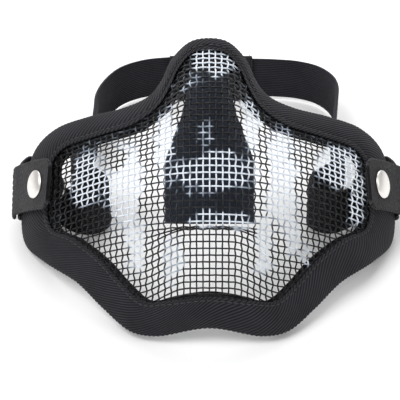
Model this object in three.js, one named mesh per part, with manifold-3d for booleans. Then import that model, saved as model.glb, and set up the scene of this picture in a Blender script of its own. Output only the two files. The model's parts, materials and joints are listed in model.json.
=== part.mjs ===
// A lower-face guard: a pressed wire mesh shell in a folded, padded fabric binding, with an elastic
// strap riveted to both cheeks and closed behind the head by a hook and loop patch.
// Millimetres. It lies on its jaw, cheeks and strap: +Z is up, the chin points to -Y, the strap to +Y.

import * as THREE from "three";
import { mergeVertices } from "three/addons/utils/BufferGeometryUtils.js";
import Module from "manifold-3d";

const wasm = await Module();
wasm.setup();

// Driving dimensions
const maskWidth = 188; // cheek to cheek, over the binding
const maskHeight = 136; // chin to nose bridge, along the face
const maskDepth = 70; // how far the mouth stands out of the face frame's zero plane
const leanBack = 34; // degrees from upright at which it lies
const gap = 0.3; // between pieces that touch

const mesh = { thickness: 1.2, edgeInset: 1.9 };
const tape = { leafWidth: 16, thickness: 1.2, foldStart: 0.6, foldBulge: 0.8 };
const pad = { thickness: 2.4, edgeInset: 2.2, gap: 0.6, innerShare: 0.96 };
const liner = {
  halfWidth: 22.5,
  low: -10.5,
  high: 60,
  thickness: 0.8,
  gap: 2.8, // behind the mesh
  steps: 20,
  columns: 12,
};
const rivet = {
  across: 80, // from the middle of the face
  up: 7,
  capRadius: 6.9,
  capHeight: 2.0,
  capEdge: 0.7,
  postRadius: 1.6,
  washerRadius: 6,
  washerThickness: 1.2,
  pivotClearance: 1.6, // round the post, so that it can tilt as the strap swings
  snugClearance: 0.3,
  sides: 20,
};
const drillLength = 30;
const strap = {
  width: 25,
  thickness: 1.6,
  reach: 159.5, // from the face frame's zero plane to the closure, along the table
  clearOfTable: 2,
};
const tab = {
  thickness: 1.8,
  lift: 1.5, // off the binding, so that it can swing
  length: 46,
  overlap: 6, // of its outer end, over the elastic
  gap: 0.8, // to the elastic
  endWidth: 0.62, // of the strap's width, at its rounded inner end
  cornerLength: 5,
};
const closure = {
  length: 49,
  height: 29.5,
  loopThickness: 2,
  hookThickness: 1.4,
  hookInset: 4, // from the left end of the loop patch
  offset: 2.5, // to the right of the middle
  seam: 9, // of the right elastic, sewn to the loop patch
  leadIn: 2, // straight elastic beyond the patch
};

// The sizes at which the outline and the surface below are drawn
const pattern = { width: 188, height: 136, depth: 70, leafWidth: 16, reach: 159.5 };
const widthScale = maskWidth / pattern.width;
const heightScale = maskHeight / pattern.height;
const depthScale = maskDepth / pattern.depth;
const leafScale = tape.leafWidth / pattern.leafWidth;
const reachScale = strap.reach / pattern.reach;

// Right half of the rim, from the nose bridge down to the chin: the outer edge of the binding, then
// its inner edge, as [across, up] in the face frame.
const rimStations = [
  [[0, 74.5], [0, 69]],
  [[9, 73], [7.5, 67.3]],
  [[17, 66.5], [13.8, 60.7]],
  [[21.5, 57.5], [17, 54]],
  [[28.5, 48.7], [23, 44]],
  [[40, 43.5], [34.5, 35.3]],
  [[58, 39.8], [53, 29.9]],
  [[75, 34.5], [69, 25]],
  [[85.5, 25.5], [75, 18.5]],
  [[91.3, 8], [75, 6.5]],
  [[94, -9], [77.5, -6.5]],
  [[91, -22.5], [74.5, -14.3]],
  [[79, -30], [63.5, -18.5]],
  [[62, -38.5], [49.5, -28]],
  [[48.5, -50], [38.5, -39]],
  [[35.5, -59.5], [29, -46]],
  [[24, -61], [18.5, -45]],
  [[0, -57], [0, -42.7]],
];
const stationCount = 2 * (rimStations.length - 1);
const stepsPerStation = 2;
const tapeJoint = 9.7; // the station, under each tab, where the upper and lower tapes meet
const tapeJointGap = 0.02; // in stations
const leafShares = [0.7, 0.35]; // where a leaf of tape bends with the face, from its inner edge outwards
const meshCentre = new THREE.Vector2(0, 8);
const meshRings = 6; // inside the binding

// The tab from its inner end over the rivet to the rim, as [outward, up, raise] from the rivet, and
// the way it heads on its right side, both in the face frame
const tabRoute = [
  [-6.5, 0.4, 0],
  [0, 0, 0],
  [8.5, -1.4, 0.2],
  [12.8, -3, 1.2],
];
const tabHeading = new THREE.Vector3(0.62, -0.12, -0.78);
const stepsPerBend = 6;

// Plan of the strap as [across, back] along the table. It turns in behind each cheek, doubles back
// under the shell and runs to the closure.
const rightStrapPlan = [
  [98.6, 26],
  [99, 39],
  [94, 47],
  [86, 43],
  [79, 30],
  [71, 18],
  [61, 13],
  [54.5, 18],
  [55.5, 26],
  [62, 33.5],
  [70, 41.5],
  [75, 51],
  [75.5, 62],
  [73, 73],
  [72.5, 86],
  [75, 103],
  [77.5, 121],
  [75.5, 135],
  [67.5, 147.5],
  [55, 154.5],
  [41, 157],
];
const leftStrapPlan = [
  [-98.6, 26],
  [-99, 39],
  [-94, 47],
  [-86, 43],
  [-79, 30],
  [-71, 17],
  [-61, 12],
  [-54, 17],
  [-55, 25],
  [-61.5, 33],
  [-69.5, 41],
  [-74.5, 50],
  [-74.5, 60],
  [-70, 69],
  [-66, 79],
  [-65.5, 95],
  [-65.5, 113],
  [-61.5, 130],
  [-53, 146],
  [-40, 155.5],
];

const smoothStep = (from, to, x) => THREE.MathUtils.smoothstep(x, from, to);
const smoothMax = (a, b, radius) => (a + b + Math.hypot(a - b, radius)) / 2;
const smoothMin = (a, b, radius) => (a + b - Math.hypot(a - b, radius)) / 2;
const above = (x, start) => Math.max(0, x - start);

// The cheeks, jaw and chin at the drawn size: two flat cheek planes that wrap back at the sides and
// under the eyes, cut off by a chin plateau.
function cheekDepth(across, up) {
  const side = Math.abs(across);
  const plane = 69.5 - 0.78 * side - 0.026 * above(side, 66) ** 2 - 0.0147 * above(up, 0) ** 2;
  const chin = 61 - 0.006 * above(-up, 10) ** 2;
  return smoothMin(chin, plane, 6) + 1;
}

// How much the nose narrows towards the bridge, at the drawn height.
function noseNarrowing(up) {
  return 1 + 0.85 * smoothStep(15, 62, up);
}

// The nose and mouth stand out from the cheeks, above a ledge over the chin.
function noseDepth(across, up) {
  const side = Math.abs(across) * noseNarrowing(up) - 15;
  const fall = 1.45 * ((side + Math.hypot(side, 7)) / 2 - 0.78);
  const ridge = 69 - 0.0066 * above(up, -2) ** 2;
  const belowLedge = 30 * (1 - smoothStep(-16, -11, up));
  return ridge - fall - belowLedge;
}

function faceDepth(across, up) {
  const x = across / widthScale;
  const v = up / heightScale;
  return depthScale * smoothMax(noseDepth(x, v), cheekDepth(x, v), 3);
}

function faceNormal(across, up) {
  const step = 0.2;
  const slopeAcross = (faceDepth(across + step, up) - faceDepth(across - step, up)) / (2 * step);
  const slopeUp = (faceDepth(across, up + step) - faceDepth(across, up - step)) / (2 * step);
  return new THREE.Vector3(-slopeAcross, -slopeUp, 1).normalize();
}

// A point at a height above the middle of the mesh, measured along its normal.
function facePoint(across, up, height) {
  const point = new THREE.Vector3(across, up, faceDepth(across, up));
  return point.addScaledVector(faceNormal(across, up), height);
}

function rimCurve(edge) {
  const half = rimStations.map((station) => {
    const outer = new THREE.Vector2(...station[0]);
    const inner = new THREE.Vector2(...station[1]);
    const point = edge === "outer" ? outer : outer.clone().lerp(inner, leafScale);
    return new THREE.Vector3(point.x * widthScale, point.y * heightScale, 0);
  });
  const otherHalf = half.slice(1, -1).reverse();
  const mirrored = otherHalf.map((point) => new THREE.Vector3(-point.x, point.y, 0));
  return new THREE.CatmullRomCurve3([...half, ...mirrored], true);
}
const outerRim = rimCurve("outer");
const innerRim = rimCurve("inner");

// A place on the rim: share 0 is the outer edge and 1 the inner edge, and inset moves it inwards.
function rimPlace(station, share, inset) {
  const turn = (((station / stationCount) % 1) + 1) % 1;
  const outer = outerRim.getPoint(turn);
  const inner = innerRim.getPoint(turn);
  const inward = inner.clone().sub(outer).normalize();
  return outer.lerp(inner, share).addScaledVector(inward, inset);
}

// A closed surface, with its faces turned outwards whichever way its outline was drawn.
function solidGeometry(points, triangles) {
  const sixVolumes = ([a, b, c]) => points[a].dot(points[b].clone().cross(points[c]));
  const volume = triangles.reduce((sum, triangle) => sum + sixVolumes(triangle), 0);
  const outward = volume < 0 ? triangles.map(([a, b, c]) => [c, b, a]) : triangles;
  const geometry = new THREE.BufferGeometry().setFromPoints(points);
  geometry.setIndex(outward.flat());
  geometry.computeVertexNormals();
  return geometry;
}

// Joins rings of points, each the outline of the same flat section, and closes both ends.
function loftGeometry(rings, section) {
  const count = section.length;
  const triangles = [];
  for (let ring = 0; ring + 1 < rings.length; ring += 1) {
    for (let i = 0; i < count; i += 1) {
      const a = ring * count + i;
      const b = ring * count + ((i + 1) % count);
      triangles.push([a, b, b + count], [a, b + count, a + count]);
    }
  }
  const last = (rings.length - 1) * count;
  const [start, end] = THREE.ShapeUtils.isClockWise(section) ? [last, 0] : [0, last];
  for (const [a, b, c] of THREE.ShapeUtils.triangulateShape(section, [])) {
    triangles.push([start + c, start + b, start + a], [end + a, end + b, end + c]);
  }
  return solidGeometry(rings.flat(), triangles);
}

// Two ends with the places of a common grid between them, so that pieces that lie on each other bend
// at the same places.
function gridBetween(from, to, perUnit) {
  const places = [from];
  for (let i = Math.floor(from * perUnit) + 1; i < to * perUnit; i += 1) {
    places.push(i / perUnit);
  }
  places.push(to);
  return places;
}

// Sweeps a section round part of the rim. Its points are [share, inset, height].
function rimSweep(sectionPoints, fromStation, toStation) {
  const rings = gridBetween(fromStation, toStation, stepsPerStation).map((station) =>
    sectionPoints.map(([share, inset, height]) => {
      const place = rimPlace(station, share, inset);
      return facePoint(place.x, place.y, height);
    }),
  );
  const section = sectionPoints.map(
    ([share, inset, height]) => new THREE.Vector2(-share * tape.leafWidth - inset, height),
  );
  return loftGeometry(rings, section);
}

function toSolid(geometry) {
  const bare = geometry.clone();
  bare.deleteAttribute("normal");
  bare.deleteAttribute("uv");
  const merged = mergeVertices(bare, 1e-4);
  return new wasm.Manifold(
    new wasm.Mesh({
      numProp: 3,
      vertProperties: merged.attributes.position.array,
      triVerts: new Uint32Array(merged.index.array),
    }),
  );
}

function toGeometry(solid) {
  const result = solid.getMesh();
  const geometry = new THREE.BufferGeometry();
  geometry.setAttribute("position", new THREE.BufferAttribute(result.vertProperties, 3));
  geometry.setIndex(new THREE.BufferAttribute(result.triVerts, 1));
  geometry.computeVertexNormals();
  return geometry;
}

// Cuts a round hole through a piece at each of the given places.
function drilled(geometry, places, radius) {
  let solid = toSolid(geometry);
  for (const place of places) {
    const cutter = new THREE.CylinderGeometry(radius, radius, drillLength, rivet.sides);
    cutter.applyMatrix4(place);
    solid = solid.subtract(toSolid(cutter));
  }
  return toGeometry(solid);
}

function material(color, roughness, metalness) {
  return new THREE.MeshStandardMaterial({ color, roughness, metalness });
}
const meshPaint = material(0x8f9193, 0.5, 0.6);
const bindingCloth = material(0x3b3a3f, 0.9, 0);
const padFoam = material(0x2b2b2e, 0.95, 0);
const linerCloth = material(0x25262b, 0.95, 0);
const strapElastic = material(0x45454a, 0.85, 0);
const tabCloth = material(0x403e42, 0.95, 0);
const rivetMetal = material(0xd8d4d0, 0.3, 0.9);

function addPiece(parent, name, geometry, finish) {
  const piece = new THREE.Mesh(geometry, finish);
  piece.name = name;
  parent.add(piece);
  return piece;
}

// The frame at a rivet, in the face frame: +Y along the rivet, out of the face.
function rivetPlace(side) {
  const centre = facePoint(side * rivet.across * widthScale, rivet.up * heightScale, 0);
  const out = faceNormal(centre.x, centre.y);
  const turn = new THREE.Quaternion().setFromUnitVectors(new THREE.Vector3(0, 1, 0), out);
  return new THREE.Matrix4().compose(centre, turn, new THREE.Vector3(1, 1, 1));
}

// The pressed sheet of wire mesh, as one thin closed shell.
function meshShell(holes) {
  const steps = stationCount * stepsPerStation;
  const half = mesh.thickness / 2;
  const centre = new THREE.Vector3(meshCentre.x * widthScale, meshCentre.y * heightScale, 0);
  const turns = Array.from({ length: steps }, (_, i) => i / stepsPerStation);
  const places = [];
  for (let ring = 1; ring <= meshRings; ring += 1) {
    places.push(turns.map((turn) => centre.clone().lerp(rimPlace(turn, 1, 0), ring / meshRings)));
  }
  for (const share of leafShares) {
    places.push(turns.map((turn) => rimPlace(turn, share, 0)));
  }
  places.push(turns.map((turn) => rimPlace(turn, 0, mesh.edgeInset)));
  const ringAt = (height) => (ring) => ring.map((place) => facePoint(place.x, place.y, height));
  const rings = [...places.map(ringAt(half)), ...places.toReversed().map(ringAt(-half))];
  const front = rings.length * steps;
  const points = [...rings.flat(), facePoint(centre.x, centre.y, half), facePoint(centre.x, centre.y, -half)];
  const triangles = [];
  for (let i = 0; i < steps; i += 1) {
    const next = (i + 1) % steps;
    for (let ring = 0; ring + 1 < rings.length; ring += 1) {
      const a = ring * steps + i;
      const b = ring * steps + next;
      triangles.push([a, b + steps, b], [a, a + steps, b + steps]);
    }
    const last = front - steps;
    triangles.push([front, i, next], [front + 1, last + next, last + i]);
  }
  return drilled(solidGeometry(points, triangles), holes, rivet.postRadius + rivet.pivotClearance);
}

// The thin cloth behind the nose and mouth.
function noseLiner() {
  const top = -(mesh.thickness / 2 + liner.gap);
  const rings = [];
  for (let i = 0; i <= liner.steps; i += 1) {
    const up = THREE.MathUtils.lerp(liner.low, liner.high, i / liner.steps);
    const half = (liner.halfWidth * widthScale) / noseNarrowing(up);
    const row = Array.from({ length: liner.columns + 1 }, (_, j) => half * ((2 * j) / liner.columns - 1));
    const front = row.map((across) => facePoint(across, up * heightScale, top));
    const back = row.map((across) => facePoint(across, up * heightScale, top - liner.thickness));
    rings.push([...front, ...back.reverse()]);
  }
  const columns = Array.from({ length: liner.columns + 1 }, (_, j) => j);
  const section = [
    ...columns.map((j) => new THREE.Vector2(j, 1)),
    ...columns.reverse().map((j) => new THREE.Vector2(j, 0)),
  ];
  return loftGeometry(rings, section);
}

// The fold of tape that wraps the rim: front leaf, fold and back leaf, over the mesh and the pad.
function bindingSection() {
  const frontIn = mesh.thickness / 2 + gap;
  const frontOut = frontIn + tape.thickness;
  const backIn = -(mesh.thickness / 2 + pad.gap + pad.thickness + pad.gap);
  const backOut = backIn - tape.thickness;
  const leaf = (height) => leafShares.map((share) => [share, 0, height]);
  const back = (height) => leaf(height).reverse();
  return [
    [1, 0, frontOut],
    [1, 0, frontIn],
    ...leaf(frontIn),
    [0, tape.thickness, frontIn],
    [0, tape.thickness, backIn],
    ...back(backIn),
    [1, 0, backIn],
    [1, 0, backOut],
    ...leaf(backOut),
    [0, tape.foldStart, backOut],
    [0, -tape.foldBulge, (frontOut + backOut) / 2],
    [0, tape.foldStart, frontOut],
    ...back(frontOut),
  ];
}

function padSection() {
  const top = -(mesh.thickness / 2 + pad.gap);
  const bottom = top - pad.thickness;
  const shares = [pad.innerShare, ...leafShares];
  return [
    [0, pad.edgeInset, top],
    ...shares.toReversed().map((share) => [share, 0, top]),
    ...shares.map((share) => [share, 0, bottom]),
    [0, pad.edgeInset, bottom],
  ];
}

function addRim(face, holes) {
  const joint = tapeJoint + tapeJointGap / 2;
  const jointAbove = tapeJoint - tapeJointGap / 2;
  const hole = rivet.postRadius + rivet.pivotClearance;
  const below = stationCount - joint;
  const upperTape = drilled(rimSweep(bindingSection(), -jointAbove, jointAbove), holes, hole);
  addPiece(face, "upper_binding", upperTape, bindingCloth);
  addPiece(face, "lower_binding", rimSweep(bindingSection(), joint, below), bindingCloth);
  const upperPad = drilled(rimSweep(padSection(), -jointAbove, jointAbove), holes, hole);
  addPiece(face, "upper_rim_pad", upperPad, padFoam);
  addPiece(face, "lower_rim_pad", rimSweep(padSection(), joint, below), padFoam);
}

// Heights along a rivet, above the middle of the mesh
const tabUnder = mesh.thickness / 2 + gap + tape.thickness + tab.lift;
const tabTop = tabUnder + tab.thickness;
const backOfBinding = mesh.thickness / 2 + 2 * pad.gap + pad.thickness + tape.thickness;
const washerTop = -(backOfBinding + tab.lift);

// A piece turned round the rivet from [radius, height] points.
function turned(profile) {
  const points = profile.map(([radius, height]) => new THREE.Vector2(radius, height));
  return new THREE.LatheGeometry(points, rivet.sides);
}

function rivetCap() {
  const under = tabTop + gap;
  const dome = [];
  const domeSteps = 5;
  for (let i = 0; i <= domeSteps; i += 1) {
    const angle = (Math.PI / 2) * (i / domeSteps);
    const height = rivet.capEdge + (rivet.capHeight - rivet.capEdge) * Math.sin(angle);
    dome.push([rivet.capRadius * Math.cos(angle), under + height]);
  }
  dome[domeSteps][0] = 0;
  const end = washerTop - rivet.washerThickness;
  return turned([
    [0, end],
    [rivet.postRadius, end],
    [rivet.postRadius, under],
    [rivet.capRadius, under],
    ...dome,
  ]);
}

function rivetWasher() {
  const inner = rivet.postRadius + rivet.snugClearance;
  const bottom = washerTop - rivet.washerThickness;
  return turned([
    [inner, bottom],
    [rivet.washerRadius, bottom],
    [rivet.washerRadius, washerTop],
    [inner, washerTop],
    [inner, bottom],
  ]);
}

// The straight end of one side of the strap, as [across, back]. The right elastic ends sewn to the loop
// patch, and the left one lies over it with the hook patch between them.
const patchRight = closure.offset + closure.length / 2;
const patchLeft = closure.offset - closure.length / 2;
const rightElasticEnd = patchRight - closure.seam;
const leftElasticEnd = rightElasticEnd - 2 * gap;
function closureRun(side) {
  if (side < 0) {
    return [
      [patchLeft - closure.leadIn, strap.reach],
      [leftElasticEnd, strap.reach],
    ];
  }
  const back = strap.reach - closure.hookThickness - gap;
  return [
    [patchRight + closure.leadIn, back],
    [rightElasticEnd, back],
  ];
}

// The middle line of one side of the strap, from the tab's inner end to the closure, with the
// direction of its width at each point.
function strapPath(side, face) {
  const line = [];
  const widths = [];
  for (const [outward, up, raise] of tabRoute) {
    const across = side * (rivet.across + outward) * widthScale;
    const raised = tabUnder + tab.thickness / 2 + raise;
    const point = facePoint(across, (rivet.up + up) * heightScale, raised);
    const normal = faceNormal(across, rivet.up * heightScale);
    const along = new THREE.Vector3(side * tabHeading.x, tabHeading.y, tabHeading.z);
    line.push(point.applyMatrix4(face.matrixWorld));
    widths.push(normal.cross(along).multiplyScalar(side).transformDirection(face.matrixWorld));
  }
  const height = strap.clearOfTable + strap.width / 2;
  const plan = (side > 0 ? rightStrapPlan : leftStrapPlan).map(([across, back]) => [
    across * widthScale,
    back * reachScale,
  ]);
  for (const [across, back] of [...plan, ...closureRun(side)]) {
    line.push(new THREE.Vector3(across, back, height));
    widths.push(new THREE.Vector3(0, 0, 1));
  }
  return { line: new THREE.CatmullRomCurve3(line), widths, side };
}

// A flat band along part of a strap path, between two heights off its middle line. Its width may
// change along it.
function band(path, from, to, inside, outside, widthAt) {
  const last = path.widths.length - 1;
  const start = path.line.getPoint(from);
  const rings = [];
  for (const at of gridBetween(from, to, last * stepsPerBend)) {
    const centre = path.line.getPoint(at);
    const along = path.line.getTangent(at);
    const before = Math.min(Math.floor(at * last), last - 1);
    const across = path.widths[before].clone().lerp(path.widths[before + 1], at * last - before);
    const out = along.clone().cross(across).multiplyScalar(path.side).normalize();
    across.crossVectors(out, along).multiplyScalar(path.side).normalize();
    const half = widthAt(centre.distanceTo(start)) / 2;
    const corner = (sign, height) =>
      centre.clone().addScaledVector(across, sign * half).addScaledVector(out, height);
    rings.push([corner(-1, inside), corner(1, inside), corner(1, outside), corner(-1, outside)]);
  }
  const section = [[-1, 0], [1, 0], [1, 1], [-1, 1]].map(([x, y]) => new THREE.Vector2(x, y));
  if (path.side < 0) return loftGeometry(rings.map((ring) => ring.reverse()), section);
  return loftGeometry(rings, section);
}

// The tab's inner end is cut round; it is full width a little way along.
function tabWidth(distance) {
  const into = Math.min(1, distance / tab.cornerLength);
  const widening = Math.sqrt(into * (2 - into));
  return strap.width * THREE.MathUtils.lerp(tab.endWidth, 1, widening);
}

function addStrapSide(parent, face, side, label) {
  const place = face.matrixWorld.clone().multiply(rivetPlace(side));
  const path = strapPath(side, face);
  const alongStrap = (distance) => path.line.getUtoTmapping(0, distance);
  const halfTab = tab.thickness / 2;
  const elasticTop = -halfTab - tab.gap;
  const elasticUnder = elasticTop - strap.thickness;
  const elasticStart = alongStrap(tab.length - tab.overlap);
  const snugHole = rivet.postRadius + rivet.snugClearance;
  const tabBand = band(path, 0, alongStrap(tab.length), -halfTab, halfTab, tabWidth);
  const elastic = band(path, elasticStart, 1, elasticUnder, elasticTop, () => strap.width);
  addPiece(parent, label + "_strap_tab", drilled(tabBand, [place], snugHole), tabCloth);
  addPiece(parent, label + "_elastic_strap", elastic, strapElastic);
  addPiece(parent, label + "_rivet_cap", rivetCap().applyMatrix4(place), rivetMetal);
  addPiece(parent, label + "_rivet_washer", rivetWasher().applyMatrix4(place), rivetMetal);
}

// The hook and loop patches that join the two elastics behind the head.
function addClosure(parent) {
  const hookBack = strap.reach - tab.thickness / 2 - tab.gap - strap.thickness - gap;
  const loopBack = hookBack - closure.hookThickness - gap;
  const hookLeft = patchLeft + closure.hookInset;
  const loop = new THREE.BoxGeometry(closure.length, closure.loopThickness, closure.height);
  const hook = new THREE.BoxGeometry(leftElasticEnd - hookLeft, closure.hookThickness, strap.width);
  const hookY = hookBack - closure.hookThickness / 2;
  const hookZ = strap.clearOfTable + strap.width / 2;
  loop.translate(closure.offset, loopBack - closure.loopThickness / 2, closure.height / 2);
  hook.translate((hookLeft + leftElasticEnd) / 2, hookY, hookZ);
  addPiece(parent, "closure_loop_patch", loop, tabCloth);
  addPiece(parent, "closure_hook_patch", hook, tabCloth);
}

const mask = new THREE.Group();
const face = new THREE.Group();
face.rotation.x = THREE.MathUtils.degToRad(90 - leanBack);
mask.add(face);

const rivetPlaces = [rivetPlace(1), rivetPlace(-1)];
addPiece(face, "wire_mesh_shell", meshShell(rivetPlaces), meshPaint);
addPiece(face, "nose_mouth_liner", noseLiner(), linerCloth);
addRim(face, rivetPlaces);
face.updateMatrixWorld(true);
face.position.z = -new THREE.Box3().setFromObject(face, true).min.z;
face.updateMatrixWorld(true);

addStrapSide(mask, face, 1, "right");
addStrapSide(mask, face, -1, "left");
addClosure(mask);

// The origin is the middle of the base of the whole guard.
mask.updateMatrixWorld(true);
const bounds = new THREE.Box3().setFromObject(mask, true);
mask.position.set(-(bounds.min.x + bounds.max.x) / 2, -(bounds.min.y + bounds.max.y) / 2, -bounds.min.z);

export default mask;
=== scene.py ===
# A mesh face mask lying on its lower cheek corners and strap: woven wires, folded fabric rim,
# riveted tabs, ribbed elastic and a hook and loop closure. Shapes are worked out in millimetres
# in the mask's own face frame (across, up, out of the face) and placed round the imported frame.
import json
import math
import random

import bpy
import numpy as np
from mathutils import Matrix, Vector, noise


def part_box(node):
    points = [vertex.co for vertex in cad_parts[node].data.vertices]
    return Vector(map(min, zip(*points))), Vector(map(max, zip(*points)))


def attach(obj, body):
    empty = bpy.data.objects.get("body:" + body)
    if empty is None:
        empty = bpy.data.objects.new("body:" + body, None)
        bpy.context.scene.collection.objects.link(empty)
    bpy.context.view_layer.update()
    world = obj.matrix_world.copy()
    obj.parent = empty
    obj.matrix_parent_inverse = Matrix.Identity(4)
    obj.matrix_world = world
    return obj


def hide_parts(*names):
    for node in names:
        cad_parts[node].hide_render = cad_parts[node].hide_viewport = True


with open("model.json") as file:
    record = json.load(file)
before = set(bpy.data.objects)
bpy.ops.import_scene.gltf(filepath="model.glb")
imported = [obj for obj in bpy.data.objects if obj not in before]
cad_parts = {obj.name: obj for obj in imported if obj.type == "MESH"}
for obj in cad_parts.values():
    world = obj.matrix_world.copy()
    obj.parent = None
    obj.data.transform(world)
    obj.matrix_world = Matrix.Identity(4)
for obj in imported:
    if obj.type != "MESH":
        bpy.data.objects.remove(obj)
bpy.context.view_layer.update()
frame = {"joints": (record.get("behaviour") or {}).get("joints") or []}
scene = bpy.context.scene
random.seed(11)
print("frame loaded")

# the face frame
faceShape = {
    "lean": math.radians(34),  # from upright
    "rivet": (80, 7),  # across and up
    "cheekDepth": 69.5,
    "cheekSlope": 0.78,
    "cheekCurl": (66, 0.026),  # from here outwards, by this much of the square
    "topCurl": 0.0147,
    "chinDepth": 61,
    "chinCurl": (10, 0.006),
    "chinBlend": 6,
    "noseDepth": 69,
    "noseCurl": 0.0066,
    "noseTop": -2,
    "noseHalf": 15,  # half the flat of the nose and mouth panel
    "noseNarrows": (15, 62, 0.85),  # from and to this height, by this share
    "flankSlope": 1.45,
    "flankBlend": 7,
    "flankStart": 0.78,
    "ledge": (-16, -11, 30),  # under the mouth, from and to this height, and how deep
    "noseBlend": 3,
    "slopeStep": 0.2,
}


def smoothStep(start, end, x):
    t = np.clip((np.asarray(x, float) - start) / (end - start), 0, 1)
    return t * t * (3 - 2 * t)


def above(x, start):
    return np.maximum(0, np.asarray(x, float) - start)


def noseNarrowing(up):
    start, end, share = faceShape["noseNarrows"]
    return 1 + share * smoothStep(start, end, up)


# the middle of the mesh: cheek planes and chin plateau, then nose and mouth
def faceDepth(across, up):
    shape = faceShape
    side = np.abs(across)
    plane = shape["cheekDepth"] - shape["cheekSlope"] * side
    plane = plane - shape["cheekCurl"][1] * above(side, shape["cheekCurl"][0]) ** 2
    plane = plane - shape["topCurl"] * above(up, 0) ** 2
    chinStart, chinCurl = shape["chinCurl"]
    chin = shape["chinDepth"] - chinCurl * above(-np.asarray(up, float), chinStart) ** 2
    cheek = (chin + plane - np.hypot(chin - plane, shape["chinBlend"])) / 2 + 1
    flank = side * noseNarrowing(up) - shape["noseHalf"]
    beyond = (flank + np.hypot(flank, shape["flankBlend"])) / 2 - shape["flankStart"]
    fall = shape["flankSlope"] * beyond
    ledgeLow, ledgeHigh, ledgeDrop = shape["ledge"]
    nose = shape["noseDepth"] - shape["noseCurl"] * above(up, shape["noseTop"]) ** 2 - fall
    nose = nose - ledgeDrop * (1 - smoothStep(ledgeLow, ledgeHigh, up))
    return (nose + cheek + np.hypot(nose - cheek, shape["noseBlend"])) / 2


def faceNormal(across, up):
    step = faceShape["slopeStep"]
    slopeAcross = (faceDepth(across + step, up) - faceDepth(across - step, up)) / (2 * step)
    slopeUp = (faceDepth(across, up + step) - faceDepth(across, up - step)) / (2 * step)
    normal = np.stack([-slopeAcross, -slopeUp, np.ones_like(slopeUp)], -1)
    return normal / np.linalg.norm(normal, axis=-1, keepdims=True)


def facePoint(across, up, height):
    across, up = np.broadcast_arrays(np.asarray(across, float), np.asarray(up, float))
    point = np.stack([across, up, faceDepth(across, up)], -1)
    return point + faceNormal(across, up) * np.asarray(height, float)[..., None]


leanCos, leanSin = math.cos(faceShape["lean"]), math.sin(faceShape["lean"])
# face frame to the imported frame
faceTurn = np.array([[1, 0, 0], [0, leanSin, -leanCos], [0, leanCos, leanSin]])
pivot = np.array(frame["joints"][0]["pos_m"]) * 1000
faceOrigin = pivot - faceTurn @ facePoint(*faceShape["rivet"], 0)
faceOrigin[0] = 0


def toFrame(points):
    return np.asarray(points) @ faceTurn.T + faceOrigin


# camera, first
cameraSetup = {"distance": 590, "aside": -4.2, "lens": 108}
cameraData = bpy.data.cameras.new("camera")
cameraData.lens = cameraSetup["lens"]
camera = bpy.data.objects.new("camera", cameraData)
scene.collection.objects.link(camera)
camera.location = Vector(toFrame([cameraSetup["aside"], 0, cameraSetup["distance"]])) / 1000
camera.rotation_euler = (math.pi / 2 - faceShape["lean"], 0, 0)
scene.camera = camera


# materials
def newMaterial(name, roughness, color=None, metallic=0.0):
    made = bpy.data.materials.new(name)
    made.use_nodes = True
    shader = made.node_tree.nodes["Principled BSDF"]
    shader.inputs["Roughness"].default_value = roughness
    shader.inputs["Metallic"].default_value = metallic
    if color:
        shader.inputs["Base Color"].default_value = (*color, 1)
    return made, made.node_tree.nodes, made.node_tree.links, shader


def addNode(nodes, kind, **values):
    node = nodes.new(kind)
    for key, value in values.items():
        if key in node.inputs:
            node.inputs[key].default_value = value
        else:
            setattr(node, key, value)
    return node


def colorRamp(nodes, stops):
    ramp = nodes.new("ShaderNodeValToRGB")
    elements = ramp.color_ramp.elements
    while len(elements) < len(stops):
        elements.new(0.5)
    for element, (at, color) in zip(elements, stops):
        element.position = at
        element.color = (*color, 1)
    return ramp


def addBump(nodes, links, shader, height, strength, distance):
    bump = addNode(nodes, "ShaderNodeBump", Strength=strength, Distance=distance)
    links.new(height, bump.inputs["Height"])
    links.new(bump.outputs["Normal"], shader.inputs["Normal"])


def addNoise(nodes, links, **values):  # noise on the object's own coordinates
    place = nodes.new("ShaderNodeTexCoord")
    texture = addNode(nodes, "ShaderNodeTexNoise", **values)
    links.new(place.outputs["Object"], texture.inputs["Vector"])
    return texture.outputs["Fac"]


def addRamp(nodes, links, value, stops, target):
    ramp = colorRamp(nodes, stops)
    links.new(value, ramp.inputs["Fac"])
    links.new(ramp.outputs["Color"], target)


def addScaled(nodes, links, value, scale, base):  # value times scale, plus base
    scaled = addNode(nodes, "ShaderNodeMath", operation="MULTIPLY_ADD")
    scaled.inputs[1].default_value = scale
    links.new(value, scaled.inputs[0])
    if isinstance(base, float):
        scaled.inputs[2].default_value = base
    else:
        links.new(base, scaled.inputs[2])
    return scaled.outputs[0]


def paintMaterial():  # blotched paint on wire, from each wire's own paint attribute
    made, nodes, links, shader = newMaterial("meshPaint", 0.42)
    paint = addNode(nodes, "ShaderNodeAttribute", attribute_name="paint")
    speck = addNoise(nodes, links, Scale=900, Detail=3)
    mixed = addScaled(nodes, links, speck, 0.22, paint.outputs["Fac"])
    stops = [
        (0.12, (0.003, 0.003, 0.0035)),
        (0.40, (0.02, 0.022, 0.027)),
        (0.66, (0.26, 0.3, 0.36)),
        (0.95, (0.72, 0.77, 0.84)),
    ]
    addRamp(nodes, links, mixed, stops, shader.inputs["Base Color"])
    shader.inputs["Specular IOR Level"].default_value = 0.3
    addBump(nodes, links, shader, speck, 0.25, 0.0002)
    return made


def addWave(nodes, links, vector, direction, pitch, distortion):  # bands across the direction
    wave = addNode(nodes, "ShaderNodeTexWave", wave_type="BANDS", bands_direction=direction)
    wave.inputs["Scale"].default_value = math.pi / 10 / pitch
    wave.inputs["Distortion"].default_value = distortion
    links.new(vector, wave.inputs["Vector"])
    return wave.outputs["Fac"]


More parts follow.
